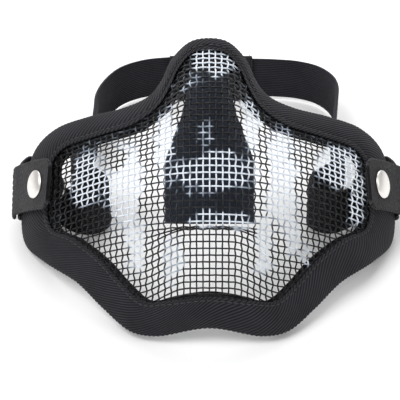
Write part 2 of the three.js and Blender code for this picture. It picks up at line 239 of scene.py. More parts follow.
def clothMaterial(name, cloth):
    # ribs at a slant to the UV map's first axis and threads across them, pitches in millimetres
    made, nodes, links, shader = newMaterial(name, 0.88)
    uv = addNode(nodes, "ShaderNodeUVMap", uv_map="UVMap")
    turned = nodes.new("ShaderNodeMapping")
    turned.inputs["Rotation"].default_value = (0, 0, math.radians(cloth["ribSlant"]))
    links.new(uv.outputs["UV"], turned.inputs["Vector"])
    ribs = addWave(nodes, links, turned.outputs["Vector"], "Y", cloth["ribPitch"], 0.35)
    threads = addWave(nodes, links, turned.outputs["Vector"], "X", cloth["threadPitch"], 0.8)
    weave = addScaled(nodes, links, threads, 0.3, ribs)
    wear = addNoise(nodes, links, Scale=70, Detail=6, Roughness=0.65)
    fluff = addNoise(nodes, links, Scale=1500, Detail=2)
    faded = addScaled(nodes, links, wear, 1.1, 0.35)
    tone = addNode(nodes, "ShaderNodeMath", operation="MULTIPLY")
    links.new(weave, tone.inputs[0])
    links.new(faded, tone.inputs[1])
    stops = [(0.1, cloth["dark"]), (1.0, cloth["light"])]
    addRamp(nodes, links, tone.outputs[0], stops, shader.inputs["Base Color"])
    grain = addScaled(nodes, links, fluff, 0.35, weave)
    addBump(nodes, links, shader, grain, 1, cloth["relief"])
    shader.inputs["Sheen Weight"].default_value = cloth["sheen"]
    shader.inputs["Sheen Roughness"].default_value = 0.4
    shader.inputs["Specular IOR Level"].default_value = 0.08
    return made


def metalMaterial():  # satin nickel, a little warmer and rougher where it is scuffed
    made, nodes, links, shader = newMaterial("satinNickel", 0.3, metallic=1.0)
    scuff = addNoise(nodes, links, Scale=420, Detail=6, Roughness=0.6)
    polish = [(0.3, (0.26, 0.26, 0.26)), (0.75, (0.42, 0.42, 0.42))]
    tint = [(0.3, (0.84, 0.81, 0.78)), (0.75, (0.76, 0.73, 0.7))]
    addRamp(nodes, links, scuff, polish, shader.inputs["Roughness"])
    addRamp(nodes, links, scuff, tint, shader.inputs["Base Color"])
    addBump(nodes, links, shader, scuff, 0.12, 0.0001)
    return made


def foamMaterial():  # open cells
    made, nodes, links, shader = newMaterial("padFoam", 0.95)
    place = nodes.new("ShaderNodeTexCoord")
    cells = addNode(nodes, "ShaderNodeTexVoronoi", Scale=1100)
    links.new(place.outputs["Object"], cells.inputs["Vector"])
    stops = [(0.0, (0.012, 0.012, 0.013)), (0.8, (0.04, 0.04, 0.043))]
    addRamp(nodes, links, cells.outputs["Distance"], stops, shader.inputs["Base Color"])
    addBump(nodes, links, shader, cells.outputs["Distance"], 0.6, 0.0004)
    return made


def threadMaterial():  # spun thread, lighter and darker along its fibres
    made, nodes, links, shader = newMaterial("thread", 0.8)
    fibres = addNoise(nodes, links, Scale=2400, Detail=3)
    stops = [(0.3, (0.02, 0.02, 0.022)), (0.7, (0.052, 0.05, 0.056))]
    addRamp(nodes, links, fibres, stops, shader.inputs["Base Color"])
    addBump(nodes, links, shader, fibres, 0.5, 0.0001)
    return made


meshPaint = paintMaterial()
bindingWeave = {
    "dark": (0.007, 0.007, 0.008),
    "light": (0.036, 0.035, 0.041),
    "ribPitch": 1.15,
    "ribSlant": 30,
    "threadPitch": 0.7,
    "relief": 0.00018,
    "sheen": 0.05,
}
elasticWeave = {
    "dark": (0.008, 0.008, 0.01),
    "light": (0.034, 0.034, 0.04),
    "ribPitch": 1.2,
    "ribSlant": 0,
    "threadPitch": 0.9,
    "relief": 0.00015,
    "sheen": 0.06,
}
tabWeave = {
    "dark": (0.008, 0.008, 0.009),
    "light": (0.04, 0.038, 0.042),
    "ribPitch": 0.9,
    "ribSlant": 90,
    "threadPitch": 0.8,
    "relief": 0.0003,
    "sheen": 0.15,
}
linerWeave = {
    "dark": (0.01, 0.012, 0.017),
    "light": (0.036, 0.043, 0.06),
    "ribPitch": 0.7,
    "ribSlant": 90,
    "threadPitch": 0.6,
    "relief": 0.0001,
    "sheen": 0.1,
}
bindingCloth = clothMaterial("bindingCloth", bindingWeave)
elasticCloth = clothMaterial("strapElastic", elasticWeave)
tabCloth = clothMaterial("tabCloth", tabWeave)
linerCloth = clothMaterial("linerCloth", linerWeave)
threadCloth = threadMaterial()
satinNickel = metalMaterial()
padFoam = foamMaterial()


# building meshes
def makePiece(name, points, faces, material, uv=None):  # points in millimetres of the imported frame
    mesh = bpy.data.meshes.new(name)
    mesh.from_pydata((np.asarray(points) / 1000).tolist(), [], [tuple(map(int, f)) for f in faces])
    mesh.materials.append(material)
    if uv is not None:
        layer = mesh.uv_layers.new(name="UVMap")
        corners = np.zeros(len(mesh.loops), int)
        mesh.loops.foreach_get("vertex_index", corners)
        layer.data.foreach_set("uv", np.asarray(uv, float)[corners].ravel())
    mesh.polygons.foreach_set("use_smooth", [True] * len(mesh.polygons))
    mesh.update()
    piece = bpy.data.objects.new(name, mesh)
    scene.collection.objects.link(piece)
    return piece


def editPiece(piece):  # selects all of one piece in edit mode
    bpy.ops.object.select_all(action="DESELECT")
    bpy.context.view_layer.objects.active = piece
    piece.select_set(True)
    bpy.ops.object.mode_set(mode="EDIT")
    bpy.ops.mesh.select_all(action="SELECT")


def outward(piece):  # turns a closed piece's faces outwards
    editPiece(piece)
    bpy.ops.mesh.normals_make_consistent(inside=False)
    bpy.ops.object.mode_set(mode="OBJECT")
    return piece


def loftFaces(rings, count):  # quads between closed rings of points, and a cap at each end
    ring = np.arange(rings - 1)[:, None] * count
    i = np.arange(count)[None, :]
    j = (i + 1) % count
    quads = np.stack([ring + i, ring + j, ring + count + j, ring + count + i], -1).reshape(-1, 4)
    caps = [list(range(count))[::-1], list(range((rings - 1) * count, rings * count))]
    return [*quads.tolist(), *caps]


# rim outline: the outer edge of the tape, then its inner edge, from nose bridge to chin
rimStations = [
    [[0, 74.5], [0, 69]],
    [[9, 73], [7.5, 67.3]],
    [[17, 66.5], [13.8, 60.7]],
    [[21.5, 57.5], [17, 54]],
    [[28.5, 48.7], [23, 44]],
    [[40, 43.5], [34.5, 35.3]],
    [[58, 39.8], [53, 29.9]],
    [[75, 34.5], [69, 25]],
    [[85.5, 25.5], [75, 18.5]],
    [[91.3, 8], [75, 6.5]],
    [[94, -9], [77.5, -6.5]],
    [[91, -22.5], [74.5, -14.3]],
    [[79, -30], [63.5, -18.5]],
    [[62, -38.5], [49.5, -28]],
    [[48.5, -50], [38.5, -39]],
    [[35.5, -59.5], [29, -46]],
    [[24, -61], [18.5, -45]],
    [[0, -57], [0, -42.7]],
]
stationCount = 2 * (len(rimStations) - 1)


def splinePoint(points, t, closed=False):  # centripetal Catmull-Rom through the points
    points = np.asarray(points, float)
    count = len(points)
    if not closed:
        points = np.vstack([2 * points[0] - points[1], points, 2 * points[-1] - points[-2]])
    at = np.asarray(t, float) * (count if closed else count - 1)
    start = np.floor(at).astype(int)
    if not closed:
        start = np.minimum(start, count - 2)
    share = (at - start)[..., None]
    steps = (-1, 0, 1, 2)
    a, b, c, d = (points[(start + k) % count] if closed else points[start + k + 1] for k in steps)
    lengths = [np.linalg.norm(q - p, axis=-1, keepdims=True) for p, q in ((a, b), (b, c), (c, d))]
    before, here, after = (np.maximum(length**0.5, 1e-4) for length in lengths)
    first = ((b - a) / before - (c - a) / (before + here) + (c - b) / here) * here
    last = ((c - b) / here - (d - b) / (here + after) + (d - c) / after) * here
    s2, s3 = share**2, share**3
    ends = b * (2 * s3 - 3 * s2 + 1) + c * (3 * s2 - 2 * s3)
    return ends + first * (s3 - 2 * s2 + share) + last * (s3 - s2)


def mirroredRim(edge):
    half = [station[edge] for station in rimStations]
    return half + [[-x, y] for x, y in half[-2:0:-1]]


outerRim, innerRim = mirroredRim(0), mirroredRim(1)


def rimPlace(station, share, inset):
    share, inset = np.asarray(share, float), np.asarray(inset, float)
    turn = (np.asarray(station, float) / stationCount) % 1
    outer = splinePoint(outerRim, turn, closed=True)
    inner = splinePoint(innerRim, turn, closed=True)
    inward = (inner - outer) / np.linalg.norm(inner - outer, axis=-1, keepdims=True)
    return outer + (inner - outer) * share[..., None] + inward * inset[..., None]


def runLength(points):  # distance along a line of points
    return np.concatenate([[0], np.cumsum(np.linalg.norm(np.diff(points, axis=0), axis=1))])


# the painted wires
wires = {
    "pitchAcross": 2.85,
    "pitchUp": 3.05,  # along the surface
    "radius": 0.37,
    "crimpUp": 0.5,  # how far the upright wires weave out and in
    "crimpAcross": 0.17,
    "droop": 0.0026,  # how the level wires sag towards the cheeks
    "sides": 6,
    "perPitch": 4,
    "tuckedShare": 0.5,  # of the tape, over their ends
    "rivetClear": 3.6,
    "uprights": (-32, 33),
    "levels": (-22, 31),
    "fewest": 5,  # samples in a wire worth keeping
    "squareTo": 10,  # rows run level to here, and follow the cheek from here
    "cheekFrom": 32,
    "cheekAt": 45.0,
}
# soft blotches of paint: across, up, half width, half height, tone from 0 black to 1 white
paintBlotches = [
    (3, 63, 11, 7, 1.0),
    (-7, 50, 4, 7, 0.85),
    (0, 37, 15, 19, 0.0),
    (-2, 29, 4, 8, 0.55),
    (18.5, 34, 4.5, 13, 0.95),
    (-19.5, 27, 4.5, 15, 0.95),
    (2, 12, 22, 9, 0.86),
    (1, -1.5, 22, 3.4, 0.1),
    (5, -8.5, 14, 4.2, 0.85),
    (-14, -9, 5, 6, 0.05),
    (-57, 9, 9, 15, 0.92),
    (-71, 14, 6, 20, 0.03),
    (-39, 6, 10, 21, 0.9),
    (-43, 19, 6, 5, 0.1),
    (-28, -2, 4.5, 12, 0.04),
    (-57, -9, 13, 8, 0.0),
    (-75, 4, 4, 13, 0.1),
    (33, 10, 8, 25, 0.9),
    (24.5, 22, 2.5, 20, 0.08),
    (62, 15, 13, 12, 0.92),
    (71, 2, 5, 14, 0.92),
    (43, 9, 4.5, 9, 0.12),
    (56, -3, 11, 11, 0.0),
    (-33, -22, 5.5, 13, 0.8),
    (-17, -27, 4, 13, 0.62),
    (24, -21, 4, 15, 0.85),
    (38, -17, 4, 10, 0.7),
    (45, -25, 3, 7, 0.66),
]
paint = {
    "bare": 0.22,  # tone of wire between blotches
    "chinDark": 0.2,
    "chinFrom": (10, 16),
    "softFrom": 0.62,  # share of a blotch's reach where its edge begins to fade, and over how much
    "softOver": 0.62,
    "wander": 4,
    "wanderSize": 8,
    "speckle": 0.3,
    "speckleSize": 2.6,
}


def softEdge(reach):
    t = min(1, max(0, (reach - paint["softFrom"]) / paint["softOver"]))
    return 1 - t * t * (3 - 2 * t)


def paintTone(across, up):
    tone = paint["bare"] - paint["chinDark"] * float(smoothStep(*paint["chinFrom"], -up))
    size = paint["wanderSize"]
    places = [Vector((across / size, up / size, layer)) for layer in (0, 40)]
    sideways, upwards = (paint["wander"] * noise.fractal(place, 1, 2, 3) for place in places)
    for x, v, width, height, value in paintBlotches:
        reach = math.hypot((across + sideways - x) / width, (up + upwards - v) / height)
        tone += (value - tone) * softEdge(reach)
    size = paint["speckleSize"]
    return tone + paint["speckle"] * noise.noise(Vector((across / size, up / size, 3)))


def insideRim(places):  # which places lie within the tucked outline
    outline = rimPlace(np.arange(0, stationCount, 0.25), wires["tuckedShare"], 0)
    x, y = places[:, 0], places[:, 1]
    inside = np.zeros(len(places), bool)
    for (x0, y0), (x1, y1) in zip(outline, np.roll(outline, -1, 0)):
        crosses = (y0 > y) != (y1 > y)
        with np.errstate(divide="ignore", invalid="ignore"):
            inside ^= crosses & (x < (x1 - x0) * (y - y0) / (y1 - y0) + x0)
    rivetAcross, rivetUp = faceShape["rivet"]
    return inside & (np.hypot(np.abs(x) - rivetAcross, y - rivetUp) > wires["rivetClear"])


levels = np.linspace(-70, 84, 1541)  # from under the chin to over the nose


def rowLevels(across):  # distance along the face at each level, from the middle
    depth = faceDepth(across, levels)
    run = np.concatenate([[0], np.cumsum(np.hypot(np.diff(levels), np.diff(depth)))])
    return run - np.interp(0, levels, run)


middleRun, cheekRun = rowLevels(0.0), rowLevels(wires["cheekAt"])


def rowPlace(row, across):  # the height at which a level wire crosses
    run = np.asarray(row, float) * wires["pitchUp"]
    middle = np.interp(run, middleRun, levels)
    cheek = np.interp(run, cheekRun, levels)
    share = smoothStep(wires["squareTo"], wires["cheekFrom"], np.abs(across))
    return middle + (cheek - middle) * share - wires["droop"] * np.square(across)


def tube(path, normals, radius, sides):
    along = np.gradient(path, axis=0)
    along /= np.linalg.norm(along, axis=1, keepdims=True)
    side = np.cross(along, normals)
    side /= np.linalg.norm(side, axis=1, keepdims=True)
    up = np.cross(side, along)
    angles = (np.arange(sides) * 2 * math.pi / sides)[None, :, None]
    return path[:, None] + radius * (np.cos(angles) * up[:, None] + np.sin(angles) * side[:, None])


def buildWires(name, numbers, travel, routeOf):
    points, faces, tones = [], [], []
    total, sides = 0, wires["sides"]
    step = 1 / wires["perPitch"]
    at = np.arange(travel[0], travel[1] - 1 + step, step)
    for wire in range(*numbers):
        places, heights = routeOf(wire, at)
        kept = insideRim(places)
        runs = np.split(np.arange(len(at)), np.flatnonzero(np.diff(kept.astype(int))) + 1)
        for run in runs:
            if not kept[run[0]] or len(run) < wires["fewest"]:
                continue
            across, up = places[run, 0], places[run, 1]
            path = facePoint(across, up, heights[run])
            rings = tube(path, faceNormal(across, up), wires["radius"], sides)
            points.append(toFrame(rings.reshape(-1, 3)))
            faces.extend([corner + total for corner in face] for face in loftFaces(len(run), sides))
            tones.extend(np.repeat([paintTone(x, v) for x, v in zip(across, up)], sides))
            total += len(run) * sides
    piece = makePiece(name, np.vstack(points), faces, meshPaint)
    attribute = piece.data.attributes.new("paint", "FLOAT", "POINT")
    attribute.data.foreach_set("value", np.asarray(tones, np.float32))
    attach(piece, "mask")
    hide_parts("wire_mesh_shell")
    return piece


def uprightRoute(wire, at):
    across = np.full(len(at), wire * wires["pitchAcross"])
    weave = np.cos(math.pi * (at + wire))
    return np.stack([across, rowPlace(at, across)], 1), wires["crimpUp"] * weave


def levelRoute(wire, at):
    across = at * wires["pitchAcross"]
    weave = np.cos(math.pi * (at + wire))
    return np.stack([across, rowPlace(wire, across)], 1), -wires["crimpAcross"] * weave


uprightWires = buildWires("upright_wires", wires["uprights"], wires["levels"], uprightRoute)
levelWires = buildWires("level_wires", wires["levels"], wires["uprights"], levelRoute)
print("wires woven", len(uprightWires.data.polygons), len(levelWires.data.polygons))


# the liner behind nose and mouth
liner = {
    "halfWidth": 22.5,
    "low": -10.5,
    "high": 60,
    "top": -3.4,
    "thickness": 0.6,
    "rows": 90,
    "columns": 44,
    "pucker": 0.12,  # along its sewn sides
    "puckerPitch": 2.3,
    "puckerDrift": 1.5,
    "puckerFrom": 0.6,  # share of the half width
}


def buildLiner():
    up = np.linspace(liner["low"], liner["high"], liner["rows"])[:, None]
    half = liner["halfWidth"] / noseNarrowing(up)
    across = half * np.linspace(-1, 1, liner["columns"])[None, :]
    up = np.broadcast_to(up, across.shape)
    wave = np.sin(up / liner["puckerPitch"] + liner["puckerDrift"] * np.sin(across / 4))
    pucker = liner["pucker"] * wave * smoothStep(liner["puckerFrom"], 1, np.abs(across) / half)
    front = facePoint(across, up, liner["top"] + pucker)
    back = facePoint(across, up, liner["top"] - liner["thickness"] + pucker)
    rings = np.concatenate([front, back[:, ::-1]], 1)
    faces = loftFaces(len(rings), rings.shape[1])
    place = np.concatenate([across, across[:, ::-1]], 1)
    level = np.concatenate([up, up], 1)
    uv = np.stack([place, level], -1).reshape(-1, 2)
    points = toFrame(rings.reshape(-1, 3))
    piece = outward(makePiece("nose_mouth_cloth", points, faces, linerCloth, uv))
    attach(piece, "mask")
    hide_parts("nose_mouth_liner")


buildLiner()
print("liner made")

# the folded binding
binding = {
    "toothPitch": 1.9,
    "toothDepth": 0.38,
    "fullPuff": 13,  # tape narrower than this, as at the nose, is flatter
    "leastPuff": 0.35,
    "leafBase": 0.95,  # height of the front leaf's underside
    "outsidePoints": 28,  # of the section, from its start: both leaves and the fold, from outside
    "toothFade": 0.06,  # share of the leaf over which the teeth die out
    "backFrom": -1.6,  # height under which the back leaf begins
    "backShift": 40,  # keeps the back leaf's weave apart from the front's
    "foamStep": 2.0,
    "samples": 2000,
    "stitchPitch": 3.0,
    "stitchLength": 2.1,
    "stitchRadius": 0.26,
    "stitchInset": -1.4,  # in the groove along the inner edge
    "stitchLine": 1.7,  # height at which the row is measured
    "stitchLift": 1.72,
    "stitchArch": 0.22,
    "stitchSamples": 4000,
    "step": 0.4,
    "joint": 9.7,  # the station under each tab where the two tapes meet
    "jointGap": 0.01,
}
# section of the folded tape as share from the outer to the inner edge, inset and height, in order
tapeSection = [
    (1, 0, 0.95),
    (1, 0.25, 1.4),
    (1, 0, 1.85),
    (1, -0.5, 2.0),
    (1, -1.1, 1.95),
    (1, -1.4, 1.6),
    (1, -1.8, 1.95),
    (0.7, 0, 2.6),
    (0.55, 0, 2.8),
    (0.4, 0, 2.8),
    (0.25, 0, 2.65),
    (0.12, 0, 2.35),
    (0.03, 0, 1.85),
    (0, -0.05, 1.1),
    (0, -0.1, 0),
    (0, -0.15, -1.6),
    (0, -0.1, -3.2),
    (0, -0.05, -4.2),
    (0.03, 0, -4.75),
    (0.12, 0, -5.1),
    (0.3, 0, -5.35),
    (0.5, 0, -5.4),
    (0.75, 0, -5.3),
    (1, -1.8, -4.95),
    (1, -0.9, -5.1),
    (1, 0, -4.9),
    (1, 0.2, -4.5),
    (1, 0, -4.25),
    (0.6, 0, -4.25),
    (0.2, 0, -4.25),
    (0, 1.6, -4),
    (0, 1.3, -1.6),
    (0, 1.6, 0.8),
    (0.3, 0, 0.93),
    (0.65, 0, 0.93),
]


def sweepRim(name, section, fromStation, toStation, step, material, toothed):
    fine = np.linspace(fromStation, toStation, binding["samples"])
    run = runLength(toFrame(facePoint(*rimPlace(fine, 0.5, 0).T, 0)))
    stations = np.interp(np.arange(0, run[-1], step), run, fine)
    along = np.interp(stations, fine, run)[:, None]
    share, inset, height = (np.array(column, float)[None, :] for column in zip(*section))
    width = np.linalg.norm(rimPlace(stations, 1, 0) - rimPlace(stations, 0, 0), axis=1)[:, None]
    inFromEdge = share * width + inset
    puff = np.clip(width / binding["fullPuff"], binding["leastPuff"], 1)
    base = binding["leafBase"]
    height = np.where(height > base, base + (height - base) * puff, height)
    if toothed:
        outside = np.arange(len(section)) < binding["outsidePoints"]
        tooth = binding["toothDepth"] * np.abs(np.sin(math.pi * along / binding["toothPitch"]))
        inset = inset - tooth * (1 - smoothStep(0, binding["toothFade"], share)) * outside
    shape = (len(stations), len(section))
    spread = (np.broadcast_to(value, shape) for value in (stations[:, None], share, inset))
    place = rimPlace(*spread)
    rings = facePoint(place[..., 0], place[..., 1], np.broadcast_to(height, shape))
    backShift = np.where(height < binding["backFrom"], binding["backShift"], 0)
    uv = np.stack(np.broadcast_arrays(along, inFromEdge + backShift), -1).reshape(-1, 2)
    points = toFrame(rings.reshape(-1, 3))
    return outward(makePiece(name, points, loftFaces(*shape), material, uv))


joint, jointGap = binding["joint"], binding["jointGap"]
rimParts = {
    "upper": (-joint + jointGap, joint - jointGap),
    "lower": (joint + jointGap, stationCount - joint - jointGap),
}
foamSection = [
    (0, 2.6, -1.3),
    (0.35, 0, -1.2),
    (0.7, 0, -1.2),
    (0.93, 0, -1.4),
    (0.96, 0, -2.4),
    (0.93, 0, -3.4),
    (0.7, 0, -3.7),
    (0.35, 0, -3.7),
    (0, 2.6, -3.5),
    (0, 2.2, -2.4),
]
for part, (start, end) in rimParts.items():
    tape = sweepRim(part + "_tape", tapeSection, start, end, binding["step"], bindingCloth, True)
    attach(tape, "mask")
    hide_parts(part + "_binding")
    foam = sweepRim(part + "_foam", foamSection, start, end, binding["foamStep"], padFoam, False)
    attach(foam, "mask")
    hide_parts(part + "_rim_pad")


def buildStitches():  # one row of thread along the inner edge, right round
    rings, sides = 5, 6
    inset = binding["stitchInset"]
    fine = np.linspace(0, stationCount, binding["stitchSamples"])
    run = runLength(toFrame(facePoint(*rimPlace(fine, 1, inset).T, binding["stitchLine"])))
    starts = np.arange(0, run[-1] - binding["stitchLength"], binding["stitchPitch"])
    arch = binding["stitchArch"] * np.sin(np.linspace(0, math.pi, rings))
    points, faces = [], []
    for index, start in enumerate(starts):
        at = np.interp(start + binding["stitchLength"] * np.linspace(0, 1, rings), run, fine)
        across, up = rimPlace(at, 1, inset).T
        path = facePoint(across, up, binding["stitchLift"] + arch)
        stitch = tube(path, faceNormal(across, up), binding["stitchRadius"], sides)
        points.append(toFrame(stitch.reshape(-1, 3)))
        first = index * rings * sides
        faces.extend([corner + first for corner in face] for face in loftFaces(rings, sides))
    thread = makePiece("rim_stitches", np.vstack(points), faces, threadCloth)
    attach(thread, "mask")


buildStitches()
print("rim bound")

# the strap's route, as in the frame
strap = {
    "width": 25,
    "thickness": 1.6,
    "height": 14.5,  # of its middle line over the table
    "elasticDrop": 1.7,  # of its outer face below the middle of the tab
    "tabLength": 46,
    "tabOverlap": 6,
    "tabThickness": 1.8,
    "tabLift": 4.5,  # of the middle of the tab over the middle of the mesh
    "endWidth": 0.62,  # of the strap's width, at the tab's rounded inner end
    "corner": 5,
    "samples": 6000,
}
# the tab as outward, up and raised from the rivet, the way it heads, and then the plan on the table
tabRoute = [(-6.5, 0.4, 0), (0, 0, 0), (8.5, -1.4, 0.2), (12.8, -3, 1.2)]
tabHeading = np.array([0.62, -0.12, -0.78])
strapPlans = {
    1: [
        (98.6, 26),
        (99, 39),
        (94, 47),
        (86, 43),
        (79, 30),
        (71, 18),
        (61, 13),
        (54.5, 18),
        (55.5, 26),
        (62, 33.5),
        (70, 41.5),
        (75, 51),
        (75.5, 62),
        (73, 73),
        (72.5, 86),
        (75, 103),
        (77.5, 121),
        (75.5, 135),
        (67.5, 147.5),
        (55, 154.5),
        (41, 157),
        (29, 157.8),
        (18, 157.8),
    ],
    -1: [
        (-98.6, 26),
        (-99, 39),
        (-94, 47),
        (-86, 43),
        (-79, 30),
        (-71, 17),
        (-61, 12),
        (-54, 17),
        (-55, 25),
        (-61.5, 33),
        (-69.5, 41),
        (-74.5, 50),
        (-74.5, 60),
        (-70, 69),
        (-66, 79),
        (-65.5, 95),
        (-65.5, 113),
        (-61.5, 130),
        (-53, 146),
        (-40, 155.5),
        (-24, 159.5),
        (17.4, 159.5),
    ],
}


def strapPath(side):
    line, widths = [], []
    rivetAcross, rivetUp = faceShape["rivet"]
    for outwards, up, raised in tabRoute:
        across = side * (rivetAcross + outwards)
        line.append(toFrame(facePoint(across, rivetUp + up, strap["tabLift"] + raised)))
        along = tabHeading * (side, 1, 1)
        widths.append(faceTurn @ (np.cross(faceNormal(across, float(rivetUp)), along) * side))
    for across, back in strapPlans[side]:
        line.append(np.array([across, back + faceOrigin[1], strap["height"]]))
        widths.append(np.array([0.0, 0, 1]))
    widths = [width / np.linalg.norm(width) for width in widths]
    return np.array(line), np.array(widths)


def bandFrames(side, fromRun, toRun, step):  # centre, width and outward directions along the strap
    line, widths = strapPath(side)
    fine = np.linspace(0, 1, strap["samples"])
    run = runLength(splinePoint(line, fine))
    toRun = run[-1] if toRun is None else toRun
    runs = np.linspace(fromRun, toRun, max(2, round((toRun - fromRun) / step)))
    at = np.interp(runs, run, fine)
    centre = splinePoint(line, at)
    near = 1e-4
    along = splinePoint(line, np.minimum(at + near, 1))
    along -= splinePoint(line, np.maximum(at - near, 0))
    along /= np.linalg.norm(along, axis=1, keepdims=True)
    index = at * (len(line) - 1)
    before = np.minimum(np.floor(index).astype(int), len(line) - 2)
    width = widths[before] + (widths[before + 1] - widths[before]) * (index - before)[:, None]
    out = np.cross(along, width) * side
    out /= np.linalg.norm(out, axis=1, keepdims=True)
    width = np.cross(out, along) * side
    return runs, centre, width, out


def bandPiece(name, side, fromRun, toRun, step, section, widthAt, material):
    # section is (share of the half width, height) points in order round the band
    runs, centre, width, out = bandFrames(side, fromRun, toRun, step)
    share, height = (np.array(column, float)[None, :, None] for column in zip(*section))
    half = np.array([widthAt(run - fromRun) / 2 for run in runs])[:, None, None]
    rings = centre[:, None] + width[:, None] * share * half + out[:, None] * height
    place = np.broadcast_to(share[..., 0] * strap["width"] / 2, rings.shape[:2])
    uv = np.stack([np.broadcast_to(runs[:, None], rings.shape[:2]), place], -1).reshape(-1, 2)
    faces = loftFaces(len(runs), len(section))
    return outward(makePiece(name, rings.reshape(-1, 3), faces, material, uv))


elastic = {"ribs": 21, "ribDepth": 0.14, "perRib": 3, "step": 1.6, "faceShare": 0.985}


def elasticSection():  # both faces ribbed along the band, with rounded edges
    count = elastic["ribs"] * elastic["perRib"]
    shares = np.linspace(-elastic["faceShare"], elastic["faceShare"], count + 1)
    ribs = elastic["ribDepth"] * np.cos(2 * math.pi * np.arange(count + 1) / elastic["perRib"])
    top, under = -strap["elasticDrop"], -strap["elasticDrop"] - strap["thickness"]
    middle = (top + under) / 2
    upper = [(x, top - elastic["ribDepth"] + rib) for x, rib in zip(shares, ribs)]
    lower = [(x, under + elastic["ribDepth"] - rib) for x, rib in zip(shares[::-1], ribs[::-1])]
    return [*upper, (1, middle), *lower, (-1, middle)]


tabPile = {
    "faceShare": 0.96,
    "columns": 26,
    "edgeShare": 0.4,  # of the half thickness, at the rounded edge
    "step": 0.6,
    "bumps": 0.16,
    "hairs": 1100,
    "hairLength": 0.7,
}


def tabWidth(distance):
    into = min(1, max(0, distance) / strap["corner"])
    rounded = math.sqrt(into * (2 - into))
    return strap["width"] * (strap["endWidth"] + (1 - strap["endWidth"]) * rounded)


def tabSection():
    half = strap["tabThickness"] / 2
    edge = half * tabPile["edgeShare"]
    shares = np.linspace(-tabPile["faceShare"], tabPile["faceShare"], tabPile["columns"])
    outer = [(x, half) for x in shares]
    inner = [(x, -half) for x in shares[::-1]]
    return [*outer, (1, edge), (1, -edge), *inner, (-1, -edge), (-1, edge)]


nap = {"spots": 900, "finer": 2.7, "finerShare": 0.6}  # bumps to the metre, and finer ones on them


def fuzz(piece, depth):  # a napped face: small uneven bumps along the normals
    mesh = piece.data
    moves = []
    for vertex in mesh.vertices:
        spot = vertex.co * nap["spots"]
        bump = noise.noise(spot) + nap["finerShare"] * noise.noise(spot * nap["finer"])
        moves.append(vertex.co + vertex.normal * depth * 0.001 * bump)
    mesh.vertices.foreach_set("co", [value for place in moves for value in place])
    mesh.update()


hair = {
    "root": 0.2,  # under the cloth's face
    "bends": [(0.5, 0.25), (0.6, 0.8)],  # out of the cloth and sideways, in hair lengths
    "radii": (0.07, 0.06, 0.03),
    "corners": (0, 2.094, 4.189),  # angles round the hair
    "sizes": (0.5, 1.3),
}


def addFibres(name, piece, count, length, awayFrom=None):  # loose curled hairs on a napped piece
    mesh = piece.data
    mesh.calc_loop_triangles()
    triangles = mesh.loop_triangles
    if awayFrom:
        triangles = [t for t in triangles if t.normal.dot(t.center - awayFrom) > 0]
    areas = np.cumsum([triangle.area for triangle in triangles])
    points, faces = [], []
    for _ in range(count):
        triangle = triangles[int(np.searchsorted(areas, random.random() * areas[-1]))]
        a, b, c = (mesh.vertices[k].co for k in triangle.vertices)
        u, v = sorted((random.random(), random.random()))
        root = (a * u + b * (v - u) + c * (1 - v)) * 1000
        normal = triangle.normal
        lean = Vector([random.gauss(0, 1) for _ in range(3)])
        side = normal.cross(lean).normalized()
        bend, across = side.cross(normal), normal.cross(side)
        size = length * random.uniform(*hair["sizes"])
        path = [root - normal * hair["root"]]
        for out, aside in hair["bends"]:
            path.append(root + normal * size * out + bend * size * aside)
        start = len(points)
        for centre, radius in zip(path, hair["radii"]):
            for angle in hair["corners"]:
                points.append(centre + (side * math.cos(angle) + across * math.sin(angle)) * radius)
        for low in (start, start + 3):
            for k in range(3):
                m = (k + 1) % 3
                faces.append((low + k, low + m, low + 3 + m, low + 3 + k))
        faces.append((start + 2, start + 1, start))
        faces.append((start + 6, start + 7, start + 8))
    hairs = makePiece(name, points, faces, threadCloth)
    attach(hairs, "strap")


behindMask = Vector((0, -0.03, 0.03))  # the tabs' outer faces look away from here
for side, label in ((1, "right"), (-1, "left")):
    length, step = strap["tabLength"], tabPile["step"]
    tab = bandPiece(label + "_tab", side, 0, length, step, tabSection(), tabWidth, tabCloth)
    fuzz(tab, tabPile["bumps"])
    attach(tab, "strap")
    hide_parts(label + "_strap_tab")
    addFibres(label + "_tab_nap", tab, tabPile["hairs"], tabPile["hairLength"], behindMask)
    start, step = length - strap["tabOverlap"], elastic["step"]
    section, widthAt = elasticSection(), lambda _: strap["width"]
    band = bandPiece(label + "_elastic", side, start, None, step, section, widthAt, elasticCloth)
    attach(band, "strap")
    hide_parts(label + "_elastic_strap")

tacks = {
    "pitch": 3.0,
    "length": 2.1,
    "radius": 0.24,
    "arch": 0.16,
    "halfRow": 10.4,
    "onTab": [41.5, 44.5],  # along the strap
    "fromEnd": {"right": [7.4, 1.6], "left": [34, 2]},  # back from the strap's end at the closure
}


def buildTacks(name, side, rows, faceHeight):  # stitches across the strap, on its outer face
    rings, sides = 4, 6
    length, halfRow = tacks["length"], tacks["halfRow"]
    lift = faceHeight + tacks["arch"] * np.sin(np.linspace(0, math.pi, rings))
    points, faces = [], []
    for run in rows:
        _, centre, width, out = bandFrames(side, run, run + 0.2, 0.1)  # only the first is used
        for place in np.arange(-halfRow, halfRow - length, tacks["pitch"]):
            along = place + length * np.linspace(0, 1, rings)
            path = centre[0] + width[0] * along[:, None] + out[0] * lift[:, None]
            stitch = tube(path, np.repeat(out[:1], rings, 0), tacks["radius"], sides)
            first = rings * sides * len(points)
            points.append(stitch.reshape(-1, 3))
            faces.extend([corner + first for corner in face] for face in loftFaces(rings, sides))
    thread = makePiece(name, np.vstack(points), faces, threadCloth)
    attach(thread, "strap")


